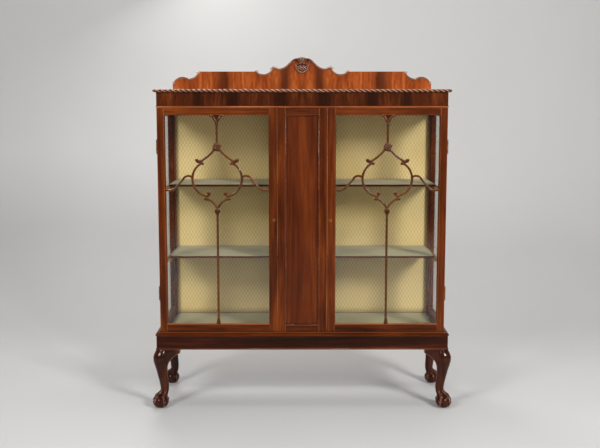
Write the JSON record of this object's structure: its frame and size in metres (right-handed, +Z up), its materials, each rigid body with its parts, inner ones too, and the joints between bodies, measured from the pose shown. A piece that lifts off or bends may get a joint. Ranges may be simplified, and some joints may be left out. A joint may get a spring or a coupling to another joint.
{
  "type": "display cabinet",
  "caption": "Glazed mahogany display cabinet with tracery doors, a fixed centre panel, lined shelves, a scrolled pediment and cabriole legs on claw-and-ball feet.",
  "frame": {"origin": "on the floor, under the middle of the cabinet", "axes": "+Z up, +X to the right seen from the front, the doors face -Y"},
  "size_m": [1.2618, 0.423, 1.481],
  "materials": {
    "polished_mahogany": "French polished, warm red-brown, fine straight grain",
    "flame_mahogany": "French polished crotch veneer with light and dark figure",
    "dark_mahogany": "dark polished, glossy on the carved knees and claws",
    "carcase_pine": "plain stained secondary timber",
    "clear_glass": "clear drawn sheet glass, 3 mm",
    "damask_lining": "pale gold damask with a small diamond trellis",
    "aged_brass": "aged, softly polished",
    "lock_steel": "plain drawn steel"
  },
  "bodies": {
    "carcase": {"apron_bead": "polished_mahogany", "back_lining": "damask_lining", "back_panel": "carcase_pine", "base_moulding": "polished_mahogany", "carcase_hinge_leaves": "aged_brass", "ceiling_board": "carcase_pine", "centre_bead": "polished_mahogany", "centre_panel": "polished_mahogany", "centre_rails": "polished_mahogany", "centre_stiles": "polished_mahogany", "floor_board": "polished_mahogany", "floor_lining": "damask_lining", "frieze_bead": "polished_mahogany", "front_apron": "dark_mahogany", "front_frieze": "flame_mahogany", "front_left_leg": "dark_mahogany", "front_posts": "polished_mahogany", "front_right_leg": "dark_mahogany", "hinge_pins": "aged_brass", "knee_brackets": "dark_mahogany", "left_side_glass": "clear_glass", "lower_shelf": "polished_mahogany", "pediment_board": "flame_mahogany", "pediment_lips": "polished_mahogany", "pediment_shell": "polished_mahogany", "rear_apron": "dark_mahogany", "rear_frieze": "carcase_pine", "rear_left_leg": "dark_mahogany", "rear_posts": "polished_mahogany", "rear_right_leg": "dark_mahogany", "right_side_glass": "clear_glass", "rope_moulding": "polished_mahogany", "shelf_bearers": "carcase_pine", "shelf_linings": "damask_lining", "side_aprons": "dark_mahogany", "side_friezes": "flame_mahogany", "side_glazing_beads": "polished_mahogany", "side_rails": "polished_mahogany", "top_board": "polished_mahogany", "upper_shelf": "polished_mahogany"},
    "left_door": {"left_door_glass": "clear_glass", "left_door_rails": "polished_mahogany", "left_glazing_beads": "polished_mahogany", "left_hinge_leaves": "aged_brass", "left_hinge_stile": "polished_mahogany", "left_lock": "aged_brass", "left_lock_stile": "polished_mahogany", "left_tracery": "polished_mahogany"},
    "left_lock_bolt": {"left_lock_bolt": "lock_steel"},
    "right_door": {"right_door_glass": "clear_glass", "right_door_rails": "polished_mahogany", "right_glazing_beads": "polished_mahogany", "right_hinge_leaves": "aged_brass", "right_hinge_stile": "polished_mahogany", "right_lock": "aged_brass", "right_lock_stile": "polished_mahogany", "right_tracery": "polished_mahogany"},
    "right_lock_bolt": {"right_lock_bolt": "lock_steel"}
  },
  "joints": [
    {"name": "left_door_hinge", "type": "hinge", "parent": "carcase", "child": "left_door", "pos_m": [-0.5998, -0.1535, 0.794], "axis": [0, 0, -1], "range_deg": [0, 170]},
    {"name": "right_door_hinge", "type": "hinge", "parent": "carcase", "child": "right_door", "pos_m": [0.5998, -0.1535, 0.794], "axis": [0, 0, 1], "range_deg": [0, 170]},
    {"name": "left_bolt_throw", "type": "slide", "parent": "left_door", "child": "left_lock_bolt", "axis": [1, 0, 0], "range_m": [0, 0.008]},
    {"name": "right_bolt_throw", "type": "slide", "parent": "right_door", "child": "right_lock_bolt", "axis": [-1, 0, 0], "range_m": [0, 0.008]}
  ]
}
